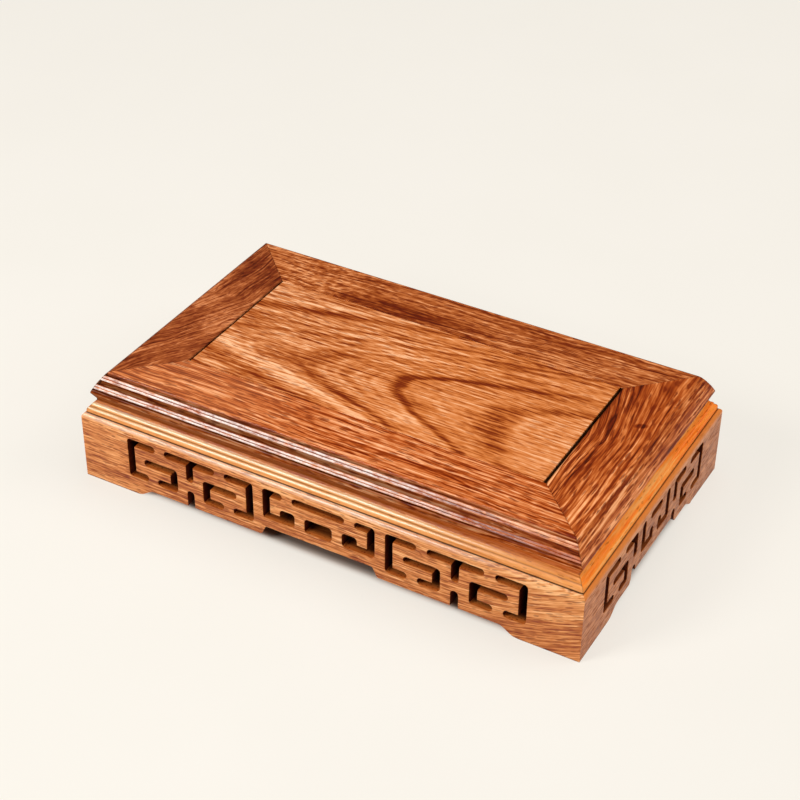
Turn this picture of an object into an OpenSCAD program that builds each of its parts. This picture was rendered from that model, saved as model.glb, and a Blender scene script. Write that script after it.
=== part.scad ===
// Small hardwood display stand: a mitred top frame with a flush panel, a sloping ledge
// under it, and four fretted aprons that end in low corner feet.
// Millimetres, +Z up, origin on the floor under the middle of the stand.

/* [Stand] */
// Length over the side aprons
stand_l = 200; // [185:1:300]
// Width over the front and back aprons
stand_w = 120; // [114:1:220]

/* [Aprons] */
// Height of the apron boards
apron_h = 28; // [27:0.5:40]
// Thickness of the apron boards
apron_t = 10; // [9:0.5:12]
// Radius of the rounded top edge of the aprons
arris_r = 1.8; // [0.6:0.1:2.4]
// Length of the flat underside of each foot
foot_l = 23.5; // [16:0.5:25]
// Length over which a foot curves up to the low edge
foot_curve = 6.8; // [3:0.2:8]
// Height of the low edge above the floor
foot_h = 3.2; // [2:0.1:3.6]
// Length over which the low edge curves up to the middle cut
middle_curve = 2.6; // [1.6:0.1:3.4]

/* [Frets] */
// Width of the cutter that routes the slots
fret_slot = 3; // [2:0.1:3.2]
// Wood left between two slots
fret_bar = 4; // [3:0.1:4.4]
// Plain wood at each end of the front and back frets
front_margin = 20; // [17:0.5:24]
// Plain wood at each end of the side frets
side_margin = 17.5; // [17:0.5:19]
// Length of the upper arm of an end bracket
bracket_arm = 12; // [9:0.5:13]
// Length of the lower arm of an end bracket
bracket_foot = 8.5; // [6:0.5:9.5]
// Length of the upper arm of a centre bracket
centre_arm = 8; // [5:0.5:10]
// Length of the window in the middle of the front fret
window_l = 11; // [7:0.5:13]

/* [Ledge] */
// Height of the ledge strips
ledge_h = 4.5; // [3:0.1:6]
// Distance of the ledge's lip behind the face of the apron
lip_inset = 1.5; // [0.8:0.1:2.2]
// Height of the upright lip
lip_h = 1.1; // [0.8:0.1:2.2]
// Height of the two beads along the slope of the ledge
bead_rise = 0.28; // [0.1:0.02:0.4]

/* [Top frame] */
// Height of the top frame
frame_h = 11.5; // [11:0.5:16]
// Width of the flat top of a rail
rail_face = 20.7; // [18:0.1:26]
// Distance of the flat top's edge behind the face of the apron
flat_inset = 7.8; // [7:0.1:9]
// Distance of the nose behind the face of the apron
nose_inset = 2.8; // [2:0.05:3.6]
// Outward swell of the slope between flat top and nose, at its middle
slope_swell = 0.4; // [0.1:0.05:0.7]
// Drop from the flat top to the middle of the nose
nose_drop = 7.8; // [7.6:0.1:8.4]
// Height of the upright edge of the nose
nose_h = 0.4; // [0.2:0.05:0.6]
// Distance of the neck behind the face of the apron
neck_inset = 4.4; // [4:0.1:5]
// Height of the upright neck
neck_h = 0.9; // [0.6:0.1:2.4]
// Radius of one reed
reed_r = 0.55; // [0.4:0.05:0.6]
// Drop from the flat top to the crease above the upper pair of reeds
upper_crease = 1.55; // [1.25:0.05:1.85]
// Drop from the flat top to the crease above the lower pair of reeds
lower_crease = 4.8; // [4.4:0.1:4.9]

/* [Panel] */
// Thickness of the panel
panel_t = 8; // [7.4:0.1:9]
// Thickness of the tongue round the panel
tongue_t = 3; // [2:0.1:3.4]
// Drop from the panel's top to its tongue
tongue_drop = 3; // [2:0.1:3.2]
// Depth of the groove in the rails
groove_d = 4; // [2.5:0.1:6]
// Room left between the tongue and the bottom of the groove
tongue_room = 0.5; // [0.2:0.1:1]
// Open joint at the left end of the panel
gap_left = 0.6; // [0.2:0.1:1.5]
// Open joint at the right end of the panel
gap_right = 1.2; // [0.2:0.1:1.5]
// Joint along the long sides of the panel
gap_side = 0.1; // [0.05:0.05:0.4]

/* [Joinery] */
// Play around tenons, tongues and dovetails
joint_play = 0.1; // [0.05:0.05:0.2]
// Thickness of the corner tenons
tenon_t = 3.5; // [2:0.1:4.2]
// Width of the corner tenons
tenon_w = 10; // [8:0.5:12]
// Wood between a dowel and the end of a corner tenon
tenon_wall = 1.5; // [1:0.1:2.5]
// Distance of each batten from the middle of the stand
batten_place = 35; // [15:1:50]
// Width of the battens
batten_w = 10; // [9:0.5:16]
// Wood left under the ends of the battens in the long rails
batten_seat = 1; // [0.8:0.1:2.4]
// How far the battens enter the long rails
batten_tenon = 3; // [2:0.1:5]
// Height of the dovetail along each batten
dovetail_h = 1.6; // [1:0.1:1.9]
// Width of the dovetail at its wide top
dovetail_w = 8; // [6:0.5:9]
// How much the dovetail narrows on each side
dovetail_flare = 0.8; // [0.4:0.1:1.2]
// Diameter of the dowels
dowel_d = 3; // [2:0.1:3.2]
// How deep the dowels enter the aprons
dowel_in_apron = 8; // [4:0.5:14]
// How deep the dowels enter the top frame
dowel_in_frame = 5; // [3:0.5:5.5]
// Height of the corner blocks above the floor
block_lift = 4; // [0:0.5:12]
// Distance of the corner blocks from the frets
block_shy = 1; // [0.5:0.1:2]

/* [Hidden] */
$fn = 48;
EPS = 0.01;
frame_z = apron_h + ledge_h;
top_z = frame_z + frame_h;
rail_in = flat_inset + rail_face;
opening_l = stand_l - 2 * rail_in;
opening_w = stand_w - 2 * rail_in;

// Levels of the panel, its tongue and the groove that holds it
panel_z = top_z - panel_t;
tongue_z = top_z - tongue_drop - tongue_t;
batten_z = frame_z + batten_seat;

// Middle lines of the three rows of slots, and the lower row of the centre groups
slot_r = fret_slot / 2;
row_step = fret_slot + fret_bar;
row_low = foot_h + fret_bar + slot_r;
row_mid = row_low + row_step;
row_top = row_mid + row_step;
row_centre = row_mid - fret_slot;
middle_cut_h = row_centre - slot_r - fret_bar;

// Reach of an end group from the middle line of its stem to its bracket's outer edge
front_centre = window_l / 2 + 2 * fret_bar + 3 * fret_slot;
front_reach = (stand_l / 2 - front_margin - front_centre - fret_bar) / 2;
front_stem = stand_l / 2 - front_margin - front_reach;
side_centre = 1.5 * fret_bar + 2 * fret_slot;
side_stem = side_centre + fret_bar + slot_r;
side_reach = stand_w / 2 - side_margin - side_stem;

// Dowels stand midway between the neck and the inner face of the aprons
dowel_inset = (neck_inset + apron_t) / 2;
dowel_room = 0.5;

// Corner tenons lie midway across the rails, under the groove
tenon_near = (neck_inset + rail_in - tenon_w) / 2;
tenon_far = tenon_near + tenon_w;
tenon_end = dowel_inset + dowel_d / 2 + tenon_wall;
tenon_z = frame_z + (tongue_z - frame_z - tenon_t) / 2;

// Moulding of the top frame: a swelling slope from the flat top to the nose. On the long rails it is
// cut back behind two pairs of reeds, whose crests keep to the slope; on the end rails it stays plain.
reed_drops = [upper_crease, lower_crease];
crease_depth = 0.9;
reed_sink = 1.15 * reed_r;
reed_step = 1.53 * reed_r;
first_reed = 0.71 * reed_r;
reed_foot = first_reed + reed_step + 0.85 * reed_r;
reed_back = 1.4 * reed_r;
fascia_drop = lower_crease + reed_foot + 0.4;
slope_steps = 12;
function slope_inset(drop) =
    flat_inset + (nose_inset - flat_inset) * drop / nose_drop
    - 4 * slope_swell * drop * (nose_drop - drop) / (nose_drop * nose_drop);

// Each side is drawn with its outer face on y = 0 and the stand's inside at +y, then set in place
module at_front() { translate([0, -stand_w / 2, 0]) children(); }
module at_back() { rotate([0, 0, 180]) at_front() children(); }
module at_right() { rotate([0, 0, 90]) translate([0, -stand_l / 2, 0]) children(); }
module at_left() { rotate([0, 0, -90]) translate([0, -stand_l / 2, 0]) children(); }

// A strip of the drawn section (inset, height), cut to length with a mitre at both ends
module mitred(length, depth) {
    intersection() {
        rotate([90, 0, 90]) linear_extrude(length, center = true) children();
        linear_extrude(top_z) polygon([
            [-length / 2, 0], [length / 2, 0],
            [length / 2 - depth, depth], [depth - length / 2, depth]
        ]);
    }
}

// The two dowel places of a side, between its mitres and its fret
module at_dowels(length, margin) {
    place = length / 2 - (dowel_inset + margin) / 2;
    for (x = [-place, place]) translate([x, dowel_inset, 0]) children();
}

module dowel_holes(length, margin) {
    at_dowels(length, margin)
        translate([0, 0, apron_h - dowel_in_apron - dowel_room])
            cylinder(
                d = dowel_d + joint_play,
                h = dowel_in_apron + ledge_h + dowel_in_frame + 2 * dowel_room
            );
}

// Top frame

module reed_pair(crease_drop) {
    for (drop = [crease_drop + first_reed, crease_drop + first_reed + reed_step])
        translate([slope_inset(drop) + reed_sink, top_z - drop]) circle(reed_r);
}

module rail_section(reeded) {
    creases = [for (c = reed_drops) each [
        [slope_inset(c) + crease_depth, c],
        [slope_inset(c + reed_foot) + reed_back, c + reed_foot]
    ]];
    start = reeded ? fascia_drop : 0;
    end = nose_drop - nose_h / 2;
    slope = [for (i = [0:slope_steps]) let (drop = start + (end - start) * i / slope_steps)
        [slope_inset(drop), drop]];
    difference() {
        union() {
            polygon(concat(
                [[rail_in, top_z]],
                [for (p = reeded ? concat([[flat_inset, 0]], creases, slope) : slope) [p[0], top_z - p[1]]],
                [
                    [slope_inset(end), top_z - nose_drop - nose_h / 2],
                    [neck_inset, frame_z + neck_h], [neck_inset, frame_z], [rail_in, frame_z]
                ]
            ));
            if (reeded) for (c = reed_drops) reed_pair(c);
        }
        translate([rail_in - groove_d, tongue_z]) square([groove_d + EPS, tongue_t + joint_play]);
    }
}

module corner_tenons() {
    tip = stand_l / 2 - tenon_end;
    for (side = [0, 1]) mirror([side, 0, 0]) translate([0, 0, tenon_z]) linear_extrude(tenon_t)
        polygon([
            [stand_l / 2 - tenon_near - 1, tenon_near], [tip, tenon_near],
            [tip, tenon_far], [stand_l / 2 - tenon_far - 1, tenon_far]
        ]);
}

module batten_mortises() {
    for (x = [-batten_place, batten_place])
        translate([x - batten_w / 2 - joint_play, rail_in - batten_tenon - joint_play, batten_z])
            cube([batten_w + 2 * joint_play, batten_tenon + joint_play + EPS, panel_z - batten_z + joint_play]);
}

module long_rail() {
    difference() {
        union() {
            mitred(stand_l, rail_in) rail_section(true);
            corner_tenons();
        }
        batten_mortises();
        dowel_holes(stand_l, front_margin);
    }
}

module end_rail() {
    difference() {
        mitred(stand_w, rail_in) rail_section(false);
        for (side = [0, 1]) mirror([side, 0, 0])
            translate([stand_w / 2 - tenon_far - joint_play, tenon_end - joint_play, tenon_z - joint_play])
                cube([tenon_w + 2 * joint_play, rail_in, tenon_t + 2 * joint_play]);
        dowel_holes(stand_w, side_margin);
    }
}

module top_rail_front() { color("#9a4f24") at_front() long_rail(); }
module top_rail_back() { color("#96502a") at_back() long_rail(); }
module top_end_left() { color("#74391f") at_left() end_rail(); }
module top_end_right() { color("#7c3a1c") at_right() end_rail(); }

// Panel and its battens

module dovetail_section(play) {
    half = dovetail_w / 2 - play;
    polygon([
        [dovetail_flare - half, panel_z - EPS], [half - dovetail_flare, panel_z - EPS],
        [half, panel_z + dovetail_h - play], [-half, panel_z + dovetail_h - play]
    ]);
}

module at_batten(side) {
    translate([side * batten_place, 0, 0]) rotate([90, 0, 0]) children();
}

module centre_panel() {
    left = opening_l / 2 - gap_left;
    right = opening_l / 2 - gap_right;
    body_w = opening_w - 2 * gap_side;
    reach = 2 * (groove_d - tongue_room);
    color("#c07a3e") difference() {
        union() {
            translate([-left, -body_w / 2, panel_z]) cube([left + right, body_w, panel_t]);
            translate([0, 0, tongue_z + tongue_t / 2])
                cube([opening_l + reach, opening_w + reach, tongue_t], center = true);
        }
        for (side = [-1, 1]) at_batten(side)
            linear_extrude(opening_w, center = true) dovetail_section(0);
    }
}

module panel_batten(side) {
    seat_l = opening_w + 2 * batten_tenon;
    color("#a9713f") at_batten(side) {
        translate([-batten_w / 2, batten_z, -seat_l / 2]) cube([batten_w, panel_z - batten_z, seat_l]);
        linear_extrude(opening_w - 2 * gap_side, center = true) dovetail_section(joint_play);
    }
}

module panel_batten_left() { panel_batten(-1); }
module panel_batten_right() { panel_batten(1); }

// Ledge

// The slope carries two low beads; the rest of it, up to the neck, is plain
module ledge_section() {
    rise = ledge_h - lip_h;
    run = neck_inset - lip_inset;
    out = [-rise, run] / norm([rise, run]);
    bead = 0.39;
    steps = 8;
    function on_slope(share, lift) =
        [lip_inset + run * share, apron_h + lip_h + rise * share] + out * lift;
    polygon(concat(
        [[lip_inset, apron_h]],
        [for (b = [0, 1], i = [b:steps])
            on_slope(bead * (b + i / steps), bead_rise * sin(180 * i / steps))],
        [on_slope(1, 0), [apron_t, frame_z], [apron_t, apron_h]]
    ));
}

module ledge(length, margin) {
    color("#d98a3e") difference() {
        mitred(length, apron_t) ledge_section();
        dowel_holes(length, margin);
    }
}

module ledge_front() { at_front() ledge(stand_l, front_margin); }
module ledge_back() { at_back() ledge(stand_l, front_margin); }
module ledge_left() { at_left() ledge(stand_w, side_margin); }
module ledge_right() { at_right() ledge(stand_w, side_margin); }

// Aprons

// The slot that a round cutter leaves along a path of level and upright legs
module route(path) {
    for (p = path) translate(p) circle(slot_r);
    for (i = [1:len(path) - 1]) {
        leg = path[i] - path[i - 1];
        translate((path[i] + path[i - 1]) / 2)
            square(leg[1] == 0 ? [abs(leg[0]), fret_slot] : [fret_slot, abs(leg[1])], center = true);
    }
}

// An opening with the cutter's radius in its corners, symmetric about x = 0 after the caller's move
module pocket(width, low, high) {
    for (x = [slot_r - width / 2, width / 2 - slot_r], y = [low + slot_r, high - slot_r])
        translate([x, y]) circle(slot_r);
    translate([-width / 2, low + slot_r]) square([width, high - low - fret_slot]);
    translate([slot_r - width / 2, low]) square([width - fret_slot, high - low]);
}

// Stem of a T, and the notch under it that opens at the low edge
module stem() {
    route([[0, row_top], [0, row_mid]]);
    route([[0, row_low], [0, -fret_slot]]);
}

// Half of an end group, from the stem at x = 0 out to the bracket
module half_group(reach) {
    arm_end = reach - bracket_arm;
    foot_end = reach - bracket_foot;
    hook = slot_r + fret_bar + slot_r;
    hook_end = reach - fret_slot - fret_bar - slot_r;
    route([[0, row_top], [arm_end - fret_bar - slot_r, row_top]]);
    route([
        [arm_end + slot_r, row_top], [reach - slot_r, row_top],
        [reach - slot_r, row_low], [foot_end + slot_r, row_low]
    ]);
    route([
        [hook_end, row_mid], [hook, row_mid],
        [hook, row_low], [foot_end - fret_bar - slot_r, row_low]
    ]);
}

module front_fret() {
    bracket = front_centre - slot_r;
    block = window_l / 2 + fret_bar + fret_slot;
    top_slot = front_centre - centre_arm - fret_bar - slot_r;
    for (side = [-1, 1]) translate([side * front_stem, 0]) {
        stem();
        for (half = [0, 1]) mirror([half, 0]) half_group(front_reach);
    }
    for (half = [0, 1]) mirror([half, 0]) {
        route([
            [front_centre - centre_arm + slot_r, row_top], [bracket, row_top],
            [bracket, row_centre], [block, row_centre]
        ]);
        translate([block, 0]) pocket(2 * fret_slot, row_centre - slot_r, row_mid + slot_r);
    }
    route([[-top_slot, row_top], [top_slot, row_top]]);
    pocket(window_l, row_centre - slot_r, row_mid + slot_r);
}

module side_fret() {
    bracket = side_centre - slot_r;
    curl = fret_bar / 2 + slot_r;
    top_slot = side_centre - fret_slot - fret_bar - slot_r;
    for (half = [0, 1]) mirror([half, 0]) {
        translate([side_stem, 0]) {
            stem();
            half_group(side_reach);
        }
        route([[bracket, row_top], [bracket, row_centre], [curl, row_centre], [curl, row_mid]]);
    }
    route([[-top_slot, row_top], [top_slot, row_top]]);
}

// Low edge between the feet, with a higher cut in the middle
module lower_cuts(length, middle) {
    steps = 8;
    function ramp(start, run, low, high) = [for (i = [0:steps]) [
        start - run * i / steps, low + (high - low) * (1 - cos(180 * i / steps)) / 2
    ]];
    curve = concat(
        ramp(length / 2 - foot_l, foot_curve, 0, foot_h),
        ramp((middle + middle_curve) / 2, middle_curve, foot_h, middle_cut_h)
    );
    last = len(curve) - 1;
    polygon(concat(
        [[length / 2 - foot_l, -1]], curve,
        [for (i = [last:-1:0]) [-curve[i][0], curve[i][1]]],
        [[foot_l - length / 2, -1]]
    ));
}

module board_section() {
    square([apron_t, apron_h - arris_r]);
    translate([arris_r, 0]) square([apron_t - arris_r, apron_h]);
    translate([arris_r, apron_h - arris_r]) circle(arris_r);
}

module apron(length, margin, middle) {
    color("#b4713f") difference() {
        mitred(length, apron_t) board_section();
        translate([0, apron_t + 1, 0]) rotate([90, 0, 0]) linear_extrude(apron_t + 2) {
            children();
            lower_cuts(length, middle);
        }
        dowel_holes(length, margin);
    }
}

module long_apron() { apron(stand_l, front_margin, 2 * front_centre) front_fret(); }
module side_apron() { apron(stand_w, side_margin, 2 * side_stem + fret_slot) side_fret(); }

module apron_front() { at_front() long_apron(); }
module apron_back() { at_back() long_apron(); }
module apron_left() { at_left() side_apron(); }
module apron_right() { at_right() side_apron(); }

// Glue blocks in the inner corners, and the dowels that line up the three layers

module corner_block(x_side, y_side) {
    color("#a9713f") translate([x_side * (stand_l / 2 - apron_t), y_side * (stand_w / 2 - apron_t), block_lift])
        linear_extrude(frame_z - block_lift) polygon([
            [0, 0],
            [-x_side * (front_margin - apron_t - block_shy), 0],
            [0, -y_side * (side_margin - apron_t - block_shy)]
        ]);
}

module corner_block_front_left() { corner_block(-1, -1); }
module corner_block_front_right() { corner_block(1, -1); }
module corner_block_back_left() { corner_block(-1, 1); }
module corner_block_back_right() { corner_block(1, 1); }

module dowel() {
    translate([0, 0, apron_h - dowel_in_apron])
        cylinder(d = dowel_d, h = dowel_in_apron + ledge_h + dowel_in_frame);
}

module dowels() {
    color("#d9b98a") {
        at_front() at_dowels(stand_l, front_margin) dowel();
        at_back() at_dowels(stand_l, front_margin) dowel();
        at_left() at_dowels(stand_w, side_margin) dowel();
        at_right() at_dowels(stand_w, side_margin) dowel();
    }
}

top_rail_front();
top_rail_back();
top_end_left();
top_end_right();
centre_panel();
panel_batten_left();
panel_batten_right();
ledge_front();
ledge_back();
ledge_left();
ledge_right();
apron_front();
apron_back();
apron_left();
apron_right();
corner_block_front_left();
corner_block_front_right();
corner_block_back_left();
corner_block_back_right();
dowels();
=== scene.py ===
import math

import bmesh
import bpy
from mathutils import Matrix, Vector


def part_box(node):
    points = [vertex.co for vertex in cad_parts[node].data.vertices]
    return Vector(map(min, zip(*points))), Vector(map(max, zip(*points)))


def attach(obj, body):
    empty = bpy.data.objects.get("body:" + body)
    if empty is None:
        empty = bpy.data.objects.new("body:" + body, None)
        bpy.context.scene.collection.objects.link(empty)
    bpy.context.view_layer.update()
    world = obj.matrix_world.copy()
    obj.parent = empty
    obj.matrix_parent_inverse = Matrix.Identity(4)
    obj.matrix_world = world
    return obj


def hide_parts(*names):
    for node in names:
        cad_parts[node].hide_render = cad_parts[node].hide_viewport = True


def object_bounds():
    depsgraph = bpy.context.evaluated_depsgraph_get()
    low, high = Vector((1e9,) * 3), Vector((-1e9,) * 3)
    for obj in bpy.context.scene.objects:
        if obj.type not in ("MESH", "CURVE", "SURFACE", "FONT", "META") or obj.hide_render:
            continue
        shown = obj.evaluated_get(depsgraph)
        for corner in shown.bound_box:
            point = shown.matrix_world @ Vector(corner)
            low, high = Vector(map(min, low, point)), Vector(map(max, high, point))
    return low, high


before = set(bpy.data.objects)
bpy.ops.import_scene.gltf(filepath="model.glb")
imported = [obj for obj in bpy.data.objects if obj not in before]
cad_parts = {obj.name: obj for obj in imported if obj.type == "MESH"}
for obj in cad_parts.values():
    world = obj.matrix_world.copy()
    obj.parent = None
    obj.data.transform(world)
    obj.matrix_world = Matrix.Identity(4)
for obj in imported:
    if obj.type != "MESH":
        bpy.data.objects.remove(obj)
cad_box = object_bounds()

# Aprons: four hardwood boards, 10 mm thick, mitred and glued at the corners. The frets are routed
# through them with a 3 mm round cutter, and the feet are sawn from the same boards. The edges are
# eased with sandpaper, and the faces are stained and varnished.
MM = 0.001
DEGREE = math.pi / 180
NEAR = 0.01
HALF_LENGTH, HALF_WIDTH = (round(reach / MM, 2) for reach in cad_box[1][:2])
APRON_TOP = round(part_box("apron_front")[1].z / MM, 2)
ARRIS = 1.9
EASED = 0.2
SAWN_EDGE = 7.2
SHARP_EDGE = 32 * DEGREE


def board_copy(node, name):
    """A copy of a sawn board to finish by hand, with its triangles joined into whole faces."""
    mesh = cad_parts[node].data.copy()
    mesh.materials.clear()
    piece = bpy.data.objects.new(name, mesh)
    bpy.context.scene.collection.objects.link(piece)
    bpy.ops.object.select_all(action="DESELECT")
    piece.select_set(True)
    bpy.context.view_layer.objects.active = piece
    bpy.ops.mesh.customdata_custom_splitnormals_clear()
    bpy.ops.object.mode_set(mode="EDIT")
    bpy.ops.mesh.select_all(action="SELECT")
    bpy.ops.mesh.remove_doubles(threshold=0.001 * MM)
    bpy.ops.mesh.dissolve_limited(angle_limit=0.05 * DEGREE)
    bpy.ops.object.mode_set(mode="OBJECT")
    return piece


def ease(piece, width, chosen, segments=2):
    """Round the edges whose two ends, in millimetres, are chosen."""
    bpy.ops.object.mode_set(mode="EDIT")
    bpy.ops.mesh.select_mode(type="EDGE")
    bpy.ops.mesh.select_all(action="DESELECT")
    shape = bmesh.from_edit_mesh(piece.data)
    for edge in shape.edges:
        start, end = (corner.co / MM for corner in edge.verts)
        edge.select_set(chosen(start, end))
    bmesh.update_edit_mesh(piece.data)
    bpy.ops.mesh.bevel(
        offset=width * MM, segments=segments, profile=0.5, affect="EDGES", loop_slide=False
    )
    bpy.ops.object.mode_set(mode="OBJECT")


def polish(piece, node):
    """Shade the piece smooth over its eased edges, and put it in the place of its sawn board."""
    low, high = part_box(node)
    for corner in piece.data.vertices:
        corner.co = [min(max(place, least), most) for place, least, most in zip(corner.co, low, high)]
    bpy.ops.object.shade_smooth_by_angle(angle=SHARP_EDGE)
    even = piece.modifiers.new("even_faces", "WEIGHTED_NORMAL")
    even.keep_sharp = True
    bpy.ops.object.modifier_apply(modifier=even.name)
    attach(piece, "root")
    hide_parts(node)


class Signal:
    """A socket of a material's nodes; arithmetic on it adds Math nodes."""

    def __init__(self, tree, socket=None):
        self.tree = tree
        self.socket = socket

    def add(self, kind, settings, sockets, output=0):
        """A node of any kind, with its settings first and then the values or links of its sockets."""
        node = self.tree.nodes.new(kind)
        for key, value in settings.items():
            if key == "stops":
                while len(node.color_ramp.elements) < len(value):
                    node.color_ramp.elements.new(0.5)
                for element, (place, colour) in zip(node.color_ramp.elements, value):
                    element.position = place
                    element.color = colour
            else:
                setattr(node, key, value)
        for key, value in sockets.items():
            if isinstance(value, Signal):
                self.tree.links.new(value.socket, node.inputs[key])
            else:
                node.inputs[key].default_value = value
        return Signal(self.tree, node.outputs[output]) if node.outputs else None

    def maths(self, operation, first, second=0.0):
        return self.add("ShaderNodeMath", {"operation": operation}, {0: first, 1: second})

    def __add__(self, other):
        return self.maths("ADD", self, other)

    def __radd__(self, other):
        return self.maths("ADD", other, self)

    def __sub__(self, other):
        return self.maths("SUBTRACT", self, other)

    def __rsub__(self, other):
        return self.maths("SUBTRACT", other, self)

    def __mul__(self, other):
        return self.maths("MULTIPLY", self, other)

    def __rmul__(self, other):
        return self.maths("MULTIPLY", other, self)

    def __truediv__(self, other):
        return self.maths("DIVIDE", self, other)

    def __pow__(self, other):
        return self.maths("POWER", self, other)

    def __abs__(self):
        return self.maths("ABSOLUTE", self)

    def at_least(self, other):
        return self.maths("MAXIMUM", self, other)

    def at_most(self, other):
        return self.maths("MINIMUM", self, other)

    def step(self, low, high):
        """0 below low and 1 above high, with a soft step between; low may be the larger one."""
        settings = {"interpolation_type": "SMOOTHSTEP"}
        sockets = {"Value": self, "From Min": low, "From Max": high}
        if low > high:
            sockets = {"Value": self, "From Min": high, "From Max": low, "To Min": 1.0, "To Max": 0.0}
        return self.add("ShaderNodeMapRange", settings, sockets)

    def hump(self, place, width):
        """1 at a place and 0 beyond a width from it."""
        return abs(self - place).step(width, 0.0)

    def parts(self):
        """The three parts of a vector."""
        return [self.add("ShaderNodeSeparateXYZ", {}, {0: self}, part) for part in range(3)]

    def noise(self, across, depth, detail=2.0, rough=0.5):
        """Cloudy noise over three signals, about its middle value."""
        spot = self.add("ShaderNodeCombineXYZ", {}, {0: self, 1: across, 2: depth})
        sockets = {"Vector": spot, "Scale": 1.0, "Detail": detail, "Roughness": rough}
        return self.add("ShaderNodeTexNoise", {}, sockets) - 0.5

    def blend(self, first, second):
        """Colour between two colours, by this signal."""
        return self.add("ShaderNodeMix", {"data_type": "RGBA"}, {0: self, 6: first, 7: second}, 2)


def paint(code):
    """A colour written as on a paint card, as the linear colour that the shader takes."""
    parts = [int(code[start : start + 2], 16) / 255 for start in (1, 3, 5)]
    linear = (part / 12.92 if part <= 0.04045 else ((part + 0.055) / 1.055) ** 2.4 for part in parts)
    return (*linear, 1.0)


TONE_PLACES = (0.0, 0.27, 0.5, 0.74, 1.0)
PORE_STAIN = "#702000"
# A pale cream painted on as a highlight on arrises and reeds.
HIGHLIGHT_TINT = "#f8e2d0"
# A near-black for dark lines and grime, and for painted shade in creases and recesses.
GRIME_AND_SHADE = "#160701"


class Board:
    """The grain of one board: u along it, v across it and w through it, in millimetres."""

    def __init__(self, name, seed, along_y=False):
        self.material = bpy.data.materials.new(name)
        self.material.use_nodes = True
        self.tree = self.material.node_tree
        self.tree.nodes.clear()
        self.seed = seed
        place = Signal(self.tree).add("ShaderNodeTexCoord", {}, {}, "Object")
        self.x, self.y, self.z = (part * (1 / MM) for part in place.parts())
        self.u, self.v, self.w = (self.y, 0.0 - self.x, self.z) if along_y else (self.x, self.y, self.z)

    def grain(self, lean=0.0, sway=1.0, broad=1.2, lines=1.2, hair=1.0, bend=0.0, dash=0.07, fine=1.2):
        """Streaks of three widths that wander together, as a tone about 0.

        They lean across the board, sway and bend together. The strengths of the wide, thin and finest
        streaks are broad, lines and hair; a larger dash makes the finest shorter, a larger fine thinner.
        """
        u, v, w, seed = self.u, self.v, self.w, self.seed
        wander = (u * 0.011 + seed).noise(v * 0.03, w * 0.03) * (14.0 * sway)
        ripple = (u * 0.05 + seed).noise(v * 0.14, w * 0.14) * (2.4 * sway)
        across = v + u * lean + wander + ripple + bend
        self.across = across
        tone = (u * 0.006 + seed).noise(across * 0.17, w * 0.17, 2.0) * broad
        tone = tone + (u * 0.014 - seed).noise(across * 0.75, w * 0.75, 3.0, 0.6) * lines
        tone = tone + (u * dash + seed).noise(across * fine, w * fine, 1.0) * (0.75 * hair)
        return tone + (u * (5 * dash) - seed).noise(across * fine, w * fine, 1.0) * (0.4 * hair)

    def veins(self, along, across, count, width):
        """Thin wavy lines along the grain, where soft bands of growth meet."""
        start = self.u * along + self.seed * 1.7
        bands = start.noise(self.across * across, self.w * across, 1.0) * count
        return abs(bands.maths("FRACT", bands) - 0.5).step(width, 0.0)

    def pores(self, length, width, share):
        """Short dark vessels along the grain, a little wavy; share is how many of them are open."""
        wavy = self.across + (self.u * 0.3 + self.seed).noise(self.v * 0.4, self.w * 0.4, 1.0) * 1.2
        parts = {0: self.u * (0.66 / length), 1: wavy * (0.5 / width), 2: self.w * (0.5 / width)}
        cells = {"Vector": self.u.add("ShaderNodeCombineXYZ", {}, parts), "Scale": 1.0}
        near = self.u.add("ShaderNodeTexVoronoi", {}, cells, "Distance")
        pick = self.u.add("ShaderNodeTexVoronoi", {}, cells, "Color").parts()[0]
        return near.step(0.46, 0.24) * pick.step(1.0 - share, 1.0 - share + 0.15)

    def mitre(self):
        """1 on the thin line where two boards meet at a corner."""
        ends = (HALF_LENGTH - abs(self.x)) - (HALF_WIDTH - abs(self.y))
        return abs(ends).step(0.45, 0.12)

    def varnish(
        self, tone, tones, pores, pore_depth=0.6, rough=0.36, coat=0.5, gloss=0.22, grime_and_shade=None, tints=()
    ):
        """Stain in five tones from dark to light, dark pores, tinted places, some of them painted
        highlights and painted light, grime and painted shade, and a coat of varnish.
        """
        stops = list(zip(TONE_PLACES, map(paint, tones)))
        colour = tone.add("ShaderNodeValToRGB", {"stops": stops}, {0: tone})
        colour = (pores * pore_depth).blend(colour, paint(PORE_STAIN))
        for share, code in tints:
            colour = share.blend(colour, paint(code))
        shine = coat * (1.0 - pores * 0.35)
        if grime_and_shade is not None:
            colour = grime_and_shade.blend(colour, paint(GRIME_AND_SHADE))
            shine = shine * (1.0 - grime_and_shade)
        relief = {"Strength": 0.25, "Distance": 0.05 * MM, "Height": tone * 0.4 - pores}
        patchy = (self.u * 0.05).noise(self.v * 0.09, self.w * 0.09, 3.0) * 0.12
        finish = {
            "Base Color": colour,
            "Roughness": rough + pores * 0.25 - tone * 0.06 + patchy,
            "Coat Weight": shine,
            "Coat Roughness": 0.1,
            "Coat IOR": 1.5,
            "Specular IOR Level": gloss,
            "Normal": tone.add("ShaderNodeBump", {}, relief),
        }
        shader = tone.add("ShaderNodeBsdfPrincipled", {}, finish)
        tone.add("ShaderNodeOutputMaterial", {}, {"Surface": shader})
        return self.material


FRONT_TONES = ("#842e00", "#ac5818", "#cf7c3a", "#e69a58", "#fcbe82")
SIDE_TONES = ("#843c12", "#a65a24", "#ba6c34", "#cc7c42", "#e2965c")
SIDE_ARRIS = "#e0833a"
DIP_START = 45.0
DIP = 0.004
DARK_PATCH = (-52.0, 34.0)
PALE_END = (76.0, 88.0)


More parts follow.
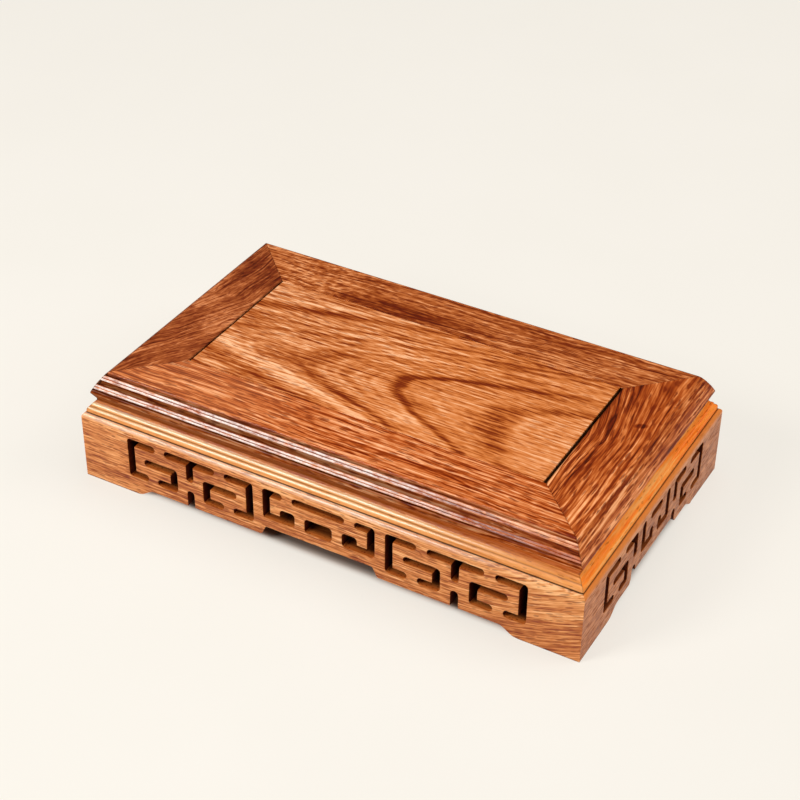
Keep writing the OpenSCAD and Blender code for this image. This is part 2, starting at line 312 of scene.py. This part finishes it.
def apron_wood(name, seed, along_y):
    """The face of an apron. Its grain dips towards one end. The long aprons have a painted highlight on
    the top arris, the end aprons a lighter orange tint there.
    """
    tones, contrast = (SIDE_TONES, 0.8) if along_y else (FRONT_TONES, 1.1)
    board = Board(name, seed, along_y)
    end = (board.u - DIP_START).at_least(0.0)
    board.w = board.z - end * end * DIP
    tone = board.grain(0.02, 0.3, broad=0.5, lines=0.8, hair=1.6, dash=0.05, fine=1.7) * contrast + 0.5
    tone = tone - board.veins(0.012, 0.2, 9.0, 0.06) * (0.2 * contrast)
    tone = tone + board.z.step(APRON_TOP - 6.0, APRON_TOP - 2.0) * 0.2
    # A dark line at the joint under the ledge, and painted contact shadow along the bottom edge of the
    # feet.
    dark_edge_lines = board.z.step(APRON_TOP - 0.2, APRON_TOP - 0.02) * 0.9 + board.z.step(0.5, 0.1) * 0.5
    pores = board.pores(3.5, 0.45, 0.85)
    if along_y:
        mottle = (board.u * 0.16 + seed).noise(board.z * 0.3, 0.0, 3.0, 0.6)
        turn = board.z.step(APRON_TOP - ARRIS - 0.9, APRON_TOP - ARRIS + 0.5) * (mottle * 1.6 + 0.85)
        finish = {"coat": 0.1, "gloss": 0.08, "grime_and_shade": dark_edge_lines, "tints": ((turn, SIDE_ARRIS),)}
        return board.varnish(tone + mottle * 1.5, tones, pores, 0.45, **finish)
    # A painted highlight on the top arris of the long aprons, patchy and fading towards the right end.
    patchy = (board.u * 0.09 + seed).noise(board.z * 1.2, 0.0, 3.0) + 0.6
    highlight_patches = board.z.step(APRON_TOP - ARRIS, APRON_TOP - ARRIS + 1.0) * patchy.step(0.1, 0.9) * 0.45
    highlight_patches = highlight_patches * board.x.step(HALF_LENGTH, 20.0)
    tone = tone - board.x.hump(*DARK_PATCH) * 0.1 + board.x.step(*PALE_END) * 0.07
    finish = {"coat": 0.4, "gloss": 0.2, "grime_and_shade": dark_edge_lines, "tints": ((highlight_patches, HIGHLIGHT_TINT),)}
    return board.varnish(tone, tones, pores, 0.55, **finish)


def cut_wood(name, seed, along_y, tones):
    """The wall that the cutter leaves in a slot, with painted shade that deepens towards the back."""
    board = Board(name, seed, along_y)
    tone = board.grain(sway=0.4, broad=0.8, lines=0.8, hair=1.0) + 0.5
    depth = HALF_LENGTH - abs(board.x) if along_y else HALF_WIDTH - abs(board.y)
    slot_shade = depth.step(0.3, 3.8) * 0.75
    pores = board.pores(0.8, 0.3, 0.5)
    return board.varnish(tone, tones, pores, rough=0.5, coat=0.0, gloss=0.1, grime_and_shade=slot_shade)


def at_corner(point):
    """Whether a point lies on one of the stand's upright corners."""
    return abs(abs(point.x) - HALF_LENGTH) < NEAR and abs(abs(point.y) - HALF_WIDTH) < NEAR


def outline_of(out, reach):
    """Choose the edges of the face that looks out, apart from those that run into the mitres."""

    def chosen(start, end):
        if at_corner(start) or at_corner(end):
            return False
        return abs(start.dot(out) - reach) < NEAR and abs(end.dot(out) - reach) < NEAR

    return chosen


LIT_GRAIN = ("#703010", "#a84e1c", "#c46428", "#d87834", "#ec9248")
DIM_GRAIN = ("#4e1c0a", "#6c3014", "#84401c", "#9a5024", "#b06632")
END_GRAIN = ("#30100a", "#48190c", "#5a2210", "#6c2c14", "#823c1e")
END_CUT, SIDE_CUT = 1, 2
STEEP = 0.3
LEVEL = 0.6
for side, out, seed in (
    ("front", Vector((0, -1, 0)), 3.1),
    ("back", Vector((0, 1, 0)), 17.7),
    ("left", Vector((-1, 0, 0)), 29.3),
    ("right", Vector((1, 0, 0)), 41.9),
):
    along_y = out.x != 0
    apron = board_copy("apron_" + side, "fretted_apron_" + side)
    ease(apron, EASED, outline_of(out, HALF_LENGTH if along_y else HALF_WIDTH))
    # Upward slot walls take lighter tones on the long aprons and darker ones on the end aprons: painted
    # light and shade.
    lit_or_dim_walls = DIM_GRAIN if along_y else LIT_GRAIN
    apron.data.materials.append(apron_wood("apron_varnish_" + side, seed, along_y))
    apron.data.materials.append(cut_wood("apron_end_grain_" + side, seed, along_y, END_GRAIN))
    apron.data.materials.append(cut_wood("apron_side_grain_" + side, seed, along_y, lit_or_dim_walls))
    for face in apron.data.polygons:
        sawn = face.normal.z < -LEVEL and face.center.z < SAWN_EDGE * MM
        below_arris = face.center.z < (APRON_TOP - 1) * MM
        if abs(face.normal.dot(out)) < STEEP and below_arris and not sawn:
            face.material_index = SIDE_CUT if face.normal.z > LEVEL else END_CUT
    polish(apron, "apron_" + side)

# Corner blocks: four plain three-cornered sticks of bare wood, glued into the inner corners to hold
# the aprons' mitres together.
INNER_TONES = ("#5e3a1e", "#80532d", "#976639", "#a97746", "#bf8e5b")


def bare_wood(name, seed, along_y, tones):
    """Planed wood without stain or varnish."""
    board = Board(name, seed, along_y)
    tone = board.grain(sway=0.6) + 0.5
    return board.varnish(tone, tones, board.pores(2.0, 0.3, 0.5), rough=0.6, coat=0.0)


block_wood = bare_wood("block_wood", 5.5, False, INNER_TONES)
for corner in ("front_left", "front_right", "back_left", "back_right"):
    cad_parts["corner_block_" + corner].material_slots[0].material = block_wood

# Ledge: four sloping hardwood strips, mitred at the corners and doweled between aprons and top frame.
# Each has a small upright lip and two low beads along its slope.
LIP_TOP = 29.1
LEDGE_TOP = round(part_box("ledge_front")[1].z / MM, 2)
LOWER_BEAD = (29.9, 0.65)
UPPER_BEAD = (31.25, 0.7)
BEAD_GROOVE = (30.45, 0.3)
LONG_LEDGE_TONES = ("#9c460a", "#c87226", "#e08c3e", "#ee9e54", "#fbb878")
END_LEDGE_TONES = ("#b63c04", "#ea681a", "#ff822a", "#ff963c", "#ffb060")
BEAD_SHEEN = "#fff0c4"


def ledge_wood(name, seed, along_y):
    """The beads of the long strips carry a painted highlight, and their top under the nose painted
    shade; the end strips are redder and streaked.
    """
    board = Board(name, seed, along_y)
    tone = board.grain(lean=0.01, sway=0.4, broad=1.0, lines=1.0, hair=0.8) + 0.5
    dark_edge_lines = board.z.step(APRON_TOP + 0.45, APRON_TOP + 0.15)
    pores = board.pores(2.6, 0.3, 0.3)
    if along_y:
        grime_and_shade = dark_edge_lines * 0.4 + board.mitre() * 0.4
        streak = (board.u * 0.03 + seed).noise(board.across * 0.9, board.w * 0.9, 3.0, 0.6)
        tone = tone + streak * 1.2 + 0.17 - board.y.step(0.0, 55.0) * 0.17
        finish = {"rough": 0.34, "coat": 0.1, "gloss": 0.02, "grime_and_shade": grime_and_shade}
        return board.varnish(tone, END_LEDGE_TONES, pores, 0.4, **finish)
    # Dark lines at the joint and the mitres, and painted shade in the groove between the beads.
    grime_and_shade = dark_edge_lines * 0.9 + board.mitre() * 0.3 + board.z.hump(*BEAD_GROOVE) * 0.4
    patchy = (board.u * 0.06 + seed).noise(board.z * 1.5, 0.0, 3.0) + 0.6
    # A painted highlight on the crests of the beads, patchy and fading to the right.
    crests = board.z.hump(*LOWER_BEAD) * 0.8 + board.z.hump(*UPPER_BEAD)
    painted_highlight = crests * patchy.step(0.2, 0.8) * board.x.step(90.0, 10.0) * 0.95
    # The top of the strip, under the nose, is darker and has no coat: painted shade.
    below = board.z.step(LEDGE_TOP - 0.55, LEDGE_TOP - 0.85)
    tone = tone - 0.3 + below * 0.3
    finish = {"rough": 0.35, "coat": below * 0.8, "gloss": 0.1, "grime_and_shade": grime_and_shade}
    return board.varnish(tone, LONG_LEDGE_TONES, pores, 0.4, tints=((painted_highlight, BEAD_SHEEN),), **finish)


def level_at(height):
    """Choose the edges that lie level at a height."""

    def chosen(start, end):
        return abs(start.z - height) < NEAR and abs(end.z - height) < NEAR

    return chosen


for side, along_y, seed in (
    ("front", False, 7.3),
    ("back", False, 11.9),
    ("left", True, 13.1),
    ("right", True, 19.7),
):
    ledge = board_copy("ledge_" + side, "ledge_strip_" + side)
    ease(ledge, EASED, level_at(LIP_TOP), 3)
    ledge.data.materials.append(ledge_wood("ledge_varnish_" + side, seed, along_y))
    polish(ledge, "ledge_" + side)

# Top frame: two long rails and two end rails of hardwood, mitred with hidden tenons and varnished to a
# gloss. The long rails are moulded with two pairs of fine reeds over a nose and a hollow neck, and the
# end rails have a plain swelling slope there.
TOP = round(cad_box[1][2] / MM, 2)
FLAT_INSET = 7.8
NOSE_INSET = 2.8
NOSE_DROP = 7.8
SLOPE_SWELL = 0.4
RAIL_FACE = 28.5
REED_DROPS = (1.55, 4.8)
REED_PAIR = 1.7
FASCIA_TOP = (6.2, 7.0)
FASCIA_FOOT = (8.4, 7.6)


class Rail(Board):
    """A moulded rail: how far each point lies behind the slope of its edge, and below the flat top."""

    def __init__(self, name, seed, along_y=False):
        super().__init__(name, seed, along_y)
        self.inset = HALF_LENGTH - abs(self.x) if along_y else HALF_WIDTH - abs(self.y)
        self.drop = TOP - self.z
        share = self.drop / NOSE_DROP
        swell = share * (1.0 - share) * (4 * SLOPE_SWELL)
        self.behind = self.inset - (share * (NOSE_INSET - FLAT_INSET) - swell + FLAT_INSET)

    def grime_and_shade(self):
        """Painted shade in the creases of the moulding, stronger to the left, and dark lines in the
        groove and in the mitres.
        """
        creases = self.behind.step(0.12, 0.45) * 0.5 + self.behind.step(0.5, 0.9) * 0.2
        creases = creases * (self.x.step(95.0, 0.0) * 0.5 + 0.5)
        creases = creases * self.drop.step(0.1, 0.4) * self.inset.step(9.0, 8.5)
        groove = self.inset.step(RAIL_FACE - 0.12, RAIL_FACE - 0.02) * self.drop.step(0.1, 0.5)
        return creases + self.mitre() * 0.25 + groove * 0.85

    def brim(self):
        """Darker along the edge of an end rail, beside the open end of the panel."""
        return self.inset.step(RAIL_FACE - 0.7, RAIL_FACE - 0.1) * self.drop.step(0.1, 0.0) * 0.5

    def painted_highlight(self):
        """A painted highlight on the crests of the reeds, patchy and fading to the right."""
        crest = self.behind.step(0.24, 0.04)
        upper, lower = (self.drop.hump(drop + REED_PAIR / 2, REED_PAIR) for drop in REED_DROPS)
        highlight_patches = (self.u * 0.25 + self.seed).noise(self.v * 0.6, self.w * 0.6, 4.0, 0.7) * 1.5 + 0.58
        fading = self.x.step(85.0, 0.0) * 0.8 + 0.2
        return crest * (upper + lower).step(0.05, 0.5) * highlight_patches.step(0.2, 0.8) * fading

    def shade_under_reeds(self):
        """Painted shade on the plain band under the reeds, less of it to the right."""
        band = self.drop.step(*FASCIA_TOP) * self.drop.step(*FASCIA_FOOT)
        return band * (self.x.step(95.0, 20.0) * 0.4 + 0.6)

    def rim(self):
        """A dark line of painted shade on the turn of the flat top."""
        return self.inset.step(FLAT_INSET + 0.7, FLAT_INSET) * self.drop.step(0.6, 0.1)


REED_SHEEN = "#f0e2dc"
FADED_STAIN = "#dea070"
HOLLOW_LIGHT_TINT = "#ea7426"


def rail_front_wood():
    """Straight grain with long veins; painted highlights on the reeds, painted shade on the band below
    them and painted light in the hollow under the nose.
    """
    rail = Rail("rail_front_varnish", 2.7)
    tones = ("#701e00", "#983c08", "#c26028", "#de8850", "#fbb484")
    tone = rail.grain(lean=0.012, sway=0.3, broad=0.5, lines=1.7, hair=1.9, dash=0.045) + 0.555
    tone = tone - rail.veins(0.008, 0.22, 10.0, 0.09) * 0.5
    # Lighter in the hollow under the nose: painted light.
    tone = tone + rail.drop.step(8.4, 9.2) * 0.3 + rail.x * 0.0006
    pores = rail.pores(4.0, 0.5, 0.95)
    streak = (rail.x * 0.03).noise(rail.z * 1.6, 0.0, 3.0, 0.6)
    # Dark lines and painted shade in the creases, and painted shade on the band under the reeds.
    grime_and_shade = rail.grime_and_shade() + rail.shade_under_reeds() * (streak * 0.9 + 0.52)
    speck = (rail.x * 0.8).noise(rail.y * 1.2, rail.z * 1.2, 3.0, 0.7) * 2.2 + 0.95
    speck = speck + (rail.x * 0.12).noise(rail.z * 0.9, 0.0, 2.0) * 1.6
    coat = rail.drop.step(7.2, 6.2) * 0.5 * (1.0 + rail.drop.step(0.6, 1.4) * (speck - 1.0))
    faded = rail.x.step(-5.0, -50.0) * rail.drop.step(1.0, 0.3) * 0.12
    # An orange tint in the hollow under the nose: painted light.
    hollow = rail.drop.step(8.2, 9.0) * 0.75
    tints = ((rail.painted_highlight(), REED_SHEEN), (faded, FADED_STAIN), (hollow, HOLLOW_LIGHT_TINT))
    return rail.varnish(tone, tones, pores, 0.7, coat=coat, gloss=0.02, grime_and_shade=grime_and_shade, tints=tints)


def rail_back_wood():
    """Darker grain, curly at the left, with a dark blotch beside the panel."""
    rail = Rail("rail_back_varnish", 23.9)
    tones = ("#5e1800", "#883808", "#aa5622", "#c8743e", "#eca06a")
    tone = rail.grain(lean=-0.03, sway=0.8, broad=0.7, lines=1.0, hair=2.0, dash=0.06) + 0.505
    blot = (rail.x * 0.07).noise(rail.y * 0.2, 0.0, 4.0, 0.65) * 1.6 + 0.8
    patch = rail.x.hump(-21.0, 34.0) * rail.y.hump(35.0, 11.0) * blot
    curl = (rail.x * 0.3 + rail.y * 0.24).noise(rail.y * 0.6 - rail.x * 0.4, 0.0, 2.0)
    curl = curl * rail.x.hump(-60.0, 40.0) * 1.4
    tone = tone + curl - patch * 0.5 + rail.x.step(-40.0, -70.0) * 0.14
    tone = tone - rail.veins(0.01, 0.18, 8.0, 0.08) * 0.25
    pores = rail.pores(3.0, 0.48, 0.9)
    # Painted shade in the creases and on the turn of the flat top; a faint painted highlight on the
    # reeds.
    grime_and_shade = rail.grime_and_shade() + rail.rim() * 0.5
    tints = ((rail.painted_highlight() * 0.4, HIGHLIGHT_TINT),)
    return rail.varnish(tone, tones, pores, 0.7, gloss=0.06, grime_and_shade=grime_and_shade, tints=tints)


def end_left_wood():
    """Dark mottled wood, whose grain runs off to the front."""
    rail = Rail("end_left_varnish", 31.7, True)
    tones = ("#521602", "#7a320e", "#974a20", "#b66434", "#da8a58")
    bend = (rail.y - 12.0).at_most(0.0) * 0.45
    tone = rail.grain(lean=0.05, sway=1.2, broad=0.6, lines=0.7, hair=1.9, bend=bend, dash=0.05) + 0.465
    tone = tone + rail.y.hump(2.0, 26.0) * 0.22 - rail.y.step(10.0, 40.0) * 0.1
    mottle = (rail.x * 0.09).noise(rail.y * 0.07, 0.0, 3.0, 0.6)
    curl = (rail.y * 0.3 + rail.x * 0.3).noise(rail.x * 0.8 - rail.y * 0.4, 0.0, 2.0)
    tone = tone + curl * 0.6 + mottle * 0.9
    pores = rail.pores(2.0, 0.45, 0.85)
    # Painted shade in the creases and on the turn of the flat top.
    grime_and_shade = rail.grime_and_shade() + rail.rim() * 0.5 + rail.brim()
    return rail.varnish(tone, tones, pores, 0.7, coat=0.2, gloss=0.15, grime_and_shade=grime_and_shade)


KNOTS = ((76.9, 9.0, 98.5, 5.0, 1.1), (86.0, 13.6, 29.0, 1.9, 1.0))


def end_right_wood():
    """Strong dark lines that fan out to the back, darkest beside the panel, and two small knots."""
    rail = Rail("end_right_varnish", 43.3, True)
    tones = ("#4a1404", "#84300a", "#aa4e1a", "#d67a3e", "#ffb27a")
    fan = (rail.x - 92.0) * rail.y.at_least(0.0) * 0.01
    tone = rail.grain(sway=0.45, broad=0.5, lines=1.9, hair=1.5, bend=fan, dash=0.035) + 0.545
    tone = tone + rail.y.step(10.0, -40.0) * 0.12
    tone = tone - rail.x.step(86.0, 92.0) * rail.y.step(0.0, 20.0) * 0.07
    for x, y, turn, length, width in KNOTS:
        cosine, sine = math.cos(turn * DEGREE), math.sin(turn * DEGREE)
        along = ((rail.x - x) * cosine + (rail.y - y) * sine) / length
        across = ((rail.y - y) * cosine - (rail.x - x) * sine) / width
        tone = tone - (along * along + across * across).step(3.0, 0.0) * 0.38
    near = rail.x.step(84.0, 74.0)
    tone = tone - rail.veins(0.01, 0.24, 10.0, 0.12) * (near * 0.5 + 0.15) - near * 0.06
    pores = rail.pores(4.5, 0.5, 0.9)
    grime_and_shade = rail.grime_and_shade() + rail.brim()
    return rail.varnish(tone, tones, pores, 0.75, coat=0.1, gloss=0.08, grime_and_shade=grime_and_shade)


def on_brink(point, end_rail):
    """Whether a point lies where the flat top of a rail turns down."""
    inset = HALF_LENGTH - abs(point.x) if end_rail else HALF_WIDTH - abs(point.y)
    return abs(point.z - TOP) < NEAR and abs(inset - FLAT_INSET) < NEAR


def brink_of(end_rail):
    """Choose the long edge where the flat top turns down."""

    def chosen(start, end):
        return on_brink(start, end_rail) and on_brink(end, end_rail)

    return chosen


def flat_edges_of(end_rail):
    """Choose the edges of the flat top that don't touch the brink."""
    level = level_at(TOP)

    def chosen(start, end):
        return level(start, end) and not (on_brink(start, end_rail) or on_brink(end, end_rail))

    return chosen


REEDED_BRINK = 0.3
PLAIN_BRINK = 0.9
JOINT_EDGE = 0.12
for node, name, slot, wood in (
    ("top_rail_front", "moulded_rail_front", "long_rail_wood", rail_front_wood()),
    ("top_rail_back", "moulded_rail_back", "long_rail_wood", rail_back_wood()),
    ("top_end_left", "moulded_end_left", "end_rail_wood", end_left_wood()),
    ("top_end_right", "moulded_end_right", "end_rail_wood", end_right_wood()),
):
    end_rail = slot == "end_rail_wood"
    rail = board_copy(node, name)
    ease(rail, PLAIN_BRINK if end_rail else REEDED_BRINK, brink_of(end_rail), 4)
    ease(rail, JOINT_EDGE, flat_edges_of(end_rail))
    rail.data.materials.append(wood)
    polish(rail, node)

# Panel: one flat-sawn hardwood board, set flush in a groove of the frame. Its ends stand a little clear
# of the rails, because the board moves with the seasons. Its year rings show as arches.
PANEL_TONES = ("#742400", "#a24c14", "#c47038", "#e2945e", "#fdc496")
WARM_STAIN = "#de7820"
ARCH_STEEP = 2.43
ARCH_ROUND = 8.0
ARCH_SKEW = 0.69
ARCH_MIDDLE = -2.4
ARCH_LIFT = 0.03
ARCH_BLUNT = 4.0
FOLD_ROUND = 6.0
FIRST_ARCH = (1.8, 5.5)
SECOND_ARCH = (41.3, 8.0)
PALE_STREAK = (-37.0, 10.0)
DARK_STREAKS = ((-51.0, 7.0), (-24.0, 6.0))


def panel_wood():
    """Grain whose rings are arches along the board: pale inside them, dark lines at two of them."""
    board = Board("panel_varnish", 8.9)
    x, y = board.x, board.y
    fine = board.grain(lean=0.0, sway=0.25, broad=0.2, lines=0.9, hair=1.8, dash=0.05)
    off = y - ARCH_MIDDLE
    rise = off.at_least(0.0)
    turn = off - off.at_least(-ARCH_BLUNT).at_most(0.0)
    steep = ARCH_STEEP + turn.step(0.0, -10.0) * 0.44
    arms = ((turn * turn + ARCH_ROUND**2) ** 0.5 - ARCH_ROUND) * steep + turn * ARCH_SKEW
    arms = arms + rise * rise * ARCH_LIFT
    fold = (x * x + FOLD_ROUND**2) ** 0.5 - FOLD_ROUND - x
    run = x + off.step(12.0, -16.0) * fold * 0.25
    wave = (x * 0.03).noise(y * 0.06, board.w * 0.05, 3.0) * 12.0
    ring = run - arms + wave
    outside = 1.0 - ring.step(3.0, 8.0)
    bands = (ring * 0.07).noise(x * 0.006, y * 0.01, 3.0, 0.6) * (outside * 1.1 + 0.5)
    bands = bands + (ring * 0.28).noise(x * 0.006, y * 0.02, 2.0, 0.5) * (outside * 0.55 + 0.2)
    tone = fine + bands + 0.56
    blur = (x * 0.05).noise(y * 0.12, 0.0, 3.0, 0.6) + 0.9
    low_dark, high_dark = (ring.hump(*streak) for streak in DARK_STREAKS)
    streak = ring.hump(*PALE_STREAK) * 0.22 - low_dark * 0.2 - high_dark * 0.15
    tone = tone + streak * off.step(-4.0, -12.0)
    first = ring.hump(*FIRST_ARCH) * (off.step(18.0, 2.0) * 0.5 + 0.5) * (blur * 0.5 + 0.5)
    second = ring + off.step(-6.0, -16.0) * 7.0 + off.step(-12.0, -28.0) * 13.0
    second_dark = second.hump(*SECOND_ARCH) * blur * (off.step(-30.0, -14.0) * 0.12 + 0.18)
    tone = tone - first * 0.5 - second_dark
    tone = tone + ring.step(4.0, 10.0) * second.step(37.0, 29.0) * 0.06 + second.step(45.0, 51.0) * 0.14
    tone = tone - x.hump(40.0, 45.0) * y.hump(24.0, 22.0) * 0.17
    tone = tone + x.hump(-38.0, 40.0) * y.hump(-21.0, 10.0) * 0.12
    end = HALF_LENGTH - RAIL_FACE
    # Painted shade on the panel's edges down in the groove, and on its top beside its open ends.
    gap_shade = board.z.step(TOP - 0.3, TOP - 0.7) * 0.9 + abs(x).step(end - 1.1, end - 0.3) * 0.5
    warm = x.step(-50.0, 15.0) * tone.step(0.2, 0.6) * 0.26
    finish = {"rough": 0.4, "coat": 0.4, "gloss": 0.08, "grime_and_shade": gap_shade, "tints": ((warm, WARM_STAIN),)}
    return board.varnish(tone, PANEL_TONES, board.pores(3.6, 0.45, 0.9), 0.5, **finish)


panel = board_copy("centre_panel", "flush_panel")
ease(panel, EASED, level_at(TOP))
panel.data.materials.append(panel_wood())
polish(panel, "centre_panel")

# Battens: two bare cross pieces under the panel, dovetailed into it and held in the long rails, so
# that the panel stays flat.
batten_wood = bare_wood("batten_wood", 15.5, True, INNER_TONES)
for side in ("left", "right"):
    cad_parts["panel_batten_" + side].material_slots[0].material = batten_wood

# Dowels: eight turned pins of pale wood, glued into drilled holes. They line up aprons, ledge and top
# frame, and are hidden in the finished stand.
DOWEL_TONES = ("#8f6d43", "#b08b5a", "#c29e6c", "#cdab7b", "#dcbd90")
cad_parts["dowels"].material_slots[0].material = bare_wood("dowel_wood", 25.5, False, DOWEL_TONES)

# Floor: a plain pale studio sheet under the stand. Part of its paleness is a glow that only the camera
# and reflections see, so that no more light falls on the stand. Under the stand the sheet is painted
# dark, a painted shadow.
FLOOR_SIZE = 6.0
SHEET_TONES = ("#f0ece3", "#f3efe7")
SHEET_GLOW = "#f7f2e9"
UNDER_SHADE = "#4a3222"


def floor_paper():
    """Paper with faint clouds, and a painted shadow within the outline of the stand."""
    board = Board("floor_paper", 1.0)
    cloud = (board.x * 0.012).noise(board.y * 0.012, 0.0, 3.0)
    colour = (cloud + 0.5).step(0.3, 0.7).blend(*map(paint, SHEET_TONES))
    outside = (abs(board.x) - HALF_LENGTH).at_least(abs(board.y) - HALF_WIDTH)
    colour = (outside.step(-1.5, -6.0) * 0.85).blend(colour, paint(UNDER_SHADE))
    paper = {"Base Color": colour, "Roughness": 0.9, "Specular IOR Level": 0.1}
    lit = cloud.add("ShaderNodeBsdfPrincipled", {}, paper)
    seen = cloud.add("ShaderNodeLightPath", {}, {}, "Is Camera Ray")
    for ray in ("Is Glossy Ray", "Is Transmission Ray"):
        seen = seen.at_least(cloud.add("ShaderNodeLightPath", {}, {}, ray))
    glow = cloud.add("ShaderNodeEmission", {}, {"Color": paint(SHEET_GLOW), "Strength": 1.0})
    open_floor = outside.step(-4.0, -0.3)
    mixed = cloud.add("ShaderNodeMixShader", {}, {0: seen * open_floor * 0.7, 1: lit, 2: glow})
    cloud.add("ShaderNodeOutputMaterial", {}, {"Surface": mixed})
    return board.material


bpy.ops.object.select_all(action="DESELECT")
bpy.ops.mesh.primitive_plane_add(size=FLOOR_SIZE, location=(0, 0, 0))
floor = bpy.context.active_object
floor.name = "studio_floor"
floor.data.materials.append(floor_paper())

# Light: a wide soft box overhead, a small bright one in front on the left, a weak fill in front, a
# stronger one on the right a little behind, and a dim even room round them.
LAMP_WHITE = (1.0, 0.985, 0.96)


def aim(thing, place, right, up, back):
    """Put a lamp or the camera at a place, turned to its right, up and back axes."""
    thing.matrix_world = Matrix.Translation(place) @ Matrix((right, up, back)).transposed().to_4x4()


world = bpy.data.worlds.new("studio_room")
bpy.context.scene.world = world
world.use_nodes = True
world.node_tree.nodes["Background"].inputs["Color"].default_value = (*LAMP_WHITE, 1.0)
world.node_tree.nodes["Background"].inputs["Strength"].default_value = 0.1
for name, place, upward, width, height, watts in (
    ("overhead_soft_box", Vector((0.35, 0.1, 1.6)), Vector((0, 1, 0)), 2.0, 2.0, 21.5),
    ("bright_soft_box", Vector((-0.48, -0.76, 0.67)), Vector((0, 0, 1)), 0.4, 0.35, 7.6),
    ("front_fill", Vector((-0.3, -2.2, 0.9)), Vector((0, 0, 1)), 1.6, 1.0, 1.6),
    ("right_fill", Vector((1.5, 0.6, 1.3)), Vector((0, 0, 1)), 1.0, 1.0, 10.4),
):
    bpy.ops.object.light_add(type="AREA", location=place)
    lamp = bpy.context.active_object
    lamp.name = name
    lamp.data.shape = "RECTANGLE"
    lamp.data.size = width
    lamp.data.size_y = height
    lamp.data.energy = watts
    lamp.data.color = LAMP_WHITE
    facing = place.normalized()
    side_axis = upward.cross(facing).normalized()
    aim(lamp, place, side_axis, facing.cross(side_axis), facing)

# Camera: a long lens in front of the stand on the right, looking down on it, at the angle and distance
# that the stand is seen from.
FRAME_PIXELS = 800
FOCAL_PIXELS = 1838.77
SENSOR = 36.0
AZIMUTH, ELEVATION, ROLL = 28.94 * DEGREE, 35.61 * DEGREE, -0.74 * DEGREE
TARGET = Vector((-6.24, 8.54, 25.0)) * MM
DISTANCE = 677.92 * MM
forward = Vector(
    (
        -math.sin(AZIMUTH) * math.cos(ELEVATION),
        math.cos(AZIMUTH) * math.cos(ELEVATION),
        -math.sin(ELEVATION),
    )
)
level_right = Vector((math.cos(AZIMUTH), math.sin(AZIMUTH), 0.0))
level_down = forward.cross(level_right)
right = level_right * math.cos(ROLL) + level_down * math.sin(ROLL)
down = level_down * math.cos(ROLL) - level_right * math.sin(ROLL)
bpy.ops.object.camera_add()
camera = bpy.context.active_object
aim(camera, TARGET - forward * DISTANCE, right, -down, -forward)
camera.data.sensor_width = SENSOR
camera.data.lens = SENSOR * FOCAL_PIXELS / FRAME_PIXELS
camera.data.clip_start = 0.01
bpy.context.scene.camera = camera
bpy.context.scene.view_settings.view_transform = "Standard"
